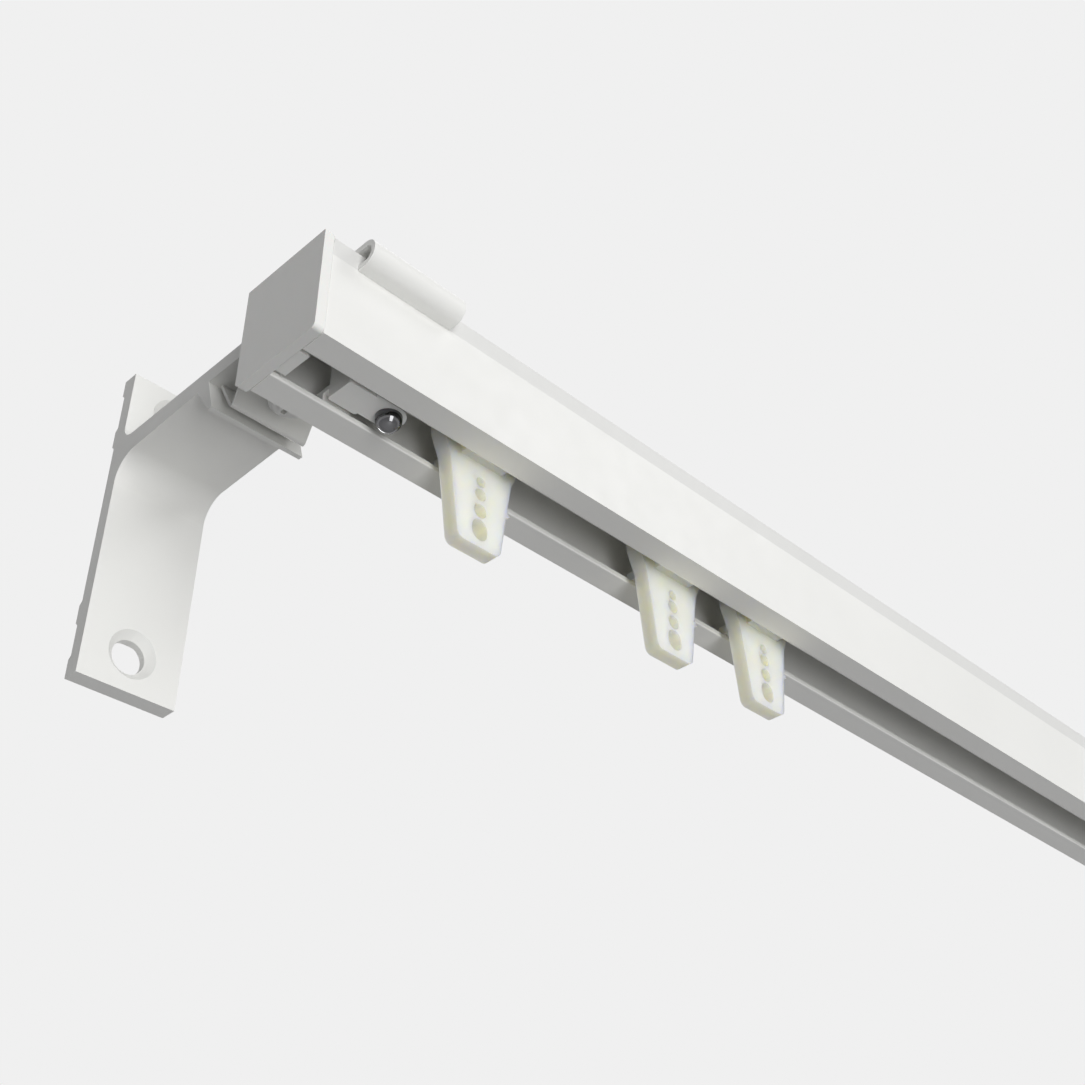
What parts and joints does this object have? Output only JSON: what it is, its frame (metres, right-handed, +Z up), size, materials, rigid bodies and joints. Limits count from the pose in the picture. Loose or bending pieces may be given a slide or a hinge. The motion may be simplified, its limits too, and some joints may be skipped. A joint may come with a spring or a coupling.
{
  "type": "curtain track",
  "caption": "Straight channel track held off the wall by hooked clip brackets, with end caps, screwed end stops and sliding gliders.",
  "frame": {"origin": "on the wall plane, at the centre of the four wall screws", "axes": "+X along the track, +Y into the wall, +Z up"},
  "size_m": [0.6, 0.0733, 0.0631],
  "materials": {
    "coated_track": "satin white powder coat",
    "coated_bracket": "satin white powder coat",
    "coated_sheet": "satin white coat",
    "cap_plastic": "satin white",
    "stop_plastic": "satin white",
    "coated_screw": "satin white coat on a steel screw",
    "chromed_screw": "polished",
    "glider_nylon": "slightly translucent nylon"
  },
  "bodies": {
    "track_and_brackets": {"track": "coated_track", "end_cap_left": "cap_plastic", "end_cap_right": "cap_plastic", "wall_bracket_left": "coated_bracket", "wall_bracket_right": "coated_bracket", "clamp_plate_left": "coated_sheet", "clamp_plate_right": "coated_sheet", "clamp_screw_left": "coated_screw", "clamp_screw_right": "coated_screw", "end_stop_left": "stop_plastic", "end_stop_right": "stop_plastic", "jack_screw_left": "chromed_screw", "jack_screw_right": "chromed_screw"},
    "glider_1_body": {"glider_1": "glider_nylon"},
    "glider_2_body": {"glider_2": "glider_nylon"},
    "glider_3_body": {"glider_3": "glider_nylon"},
    "glider_4_body": {"glider_4": "glider_nylon"},
    "glider_5_body": {"glider_5": "glider_nylon"},
    "glider_6_body": {"glider_6": "glider_nylon"}
  },
  "joints": [
    {"name": "glider_1_slide", "type": "slide", "parent": "track_and_brackets", "child": "glider_1_body", "axis": [1, 0, 0], "range_m": [-0.007, 0.01465]},
    {"name": "glider_2_slide", "type": "slide", "parent": "track_and_brackets", "child": "glider_2_body", "axis": [1, 0, 0], "range_m": [-0.01465, 0.00443]},
    {"name": "glider_3_slide", "type": "slide", "parent": "track_and_brackets", "child": "glider_3_body", "axis": [1, 0, 0], "range_m": [-0.00443, 0.17995]},
    {"name": "glider_4_slide", "type": "slide", "parent": "track_and_brackets", "child": "glider_4_body", "axis": [1, 0, 0], "range_m": [-0.17995, 0.00443]},
    {"name": "glider_5_slide", "type": "slide", "parent": "track_and_brackets", "child": "glider_5_body", "axis": [1, 0, 0], "range_m": [-0.00443, 0.01465]},
    {"name": "glider_6_slide", "type": "slide", "parent": "track_and_brackets", "child": "glider_6_body", "axis": [1, 0, 0], "range_m": [-0.01465, 0.007]}
  ]
}
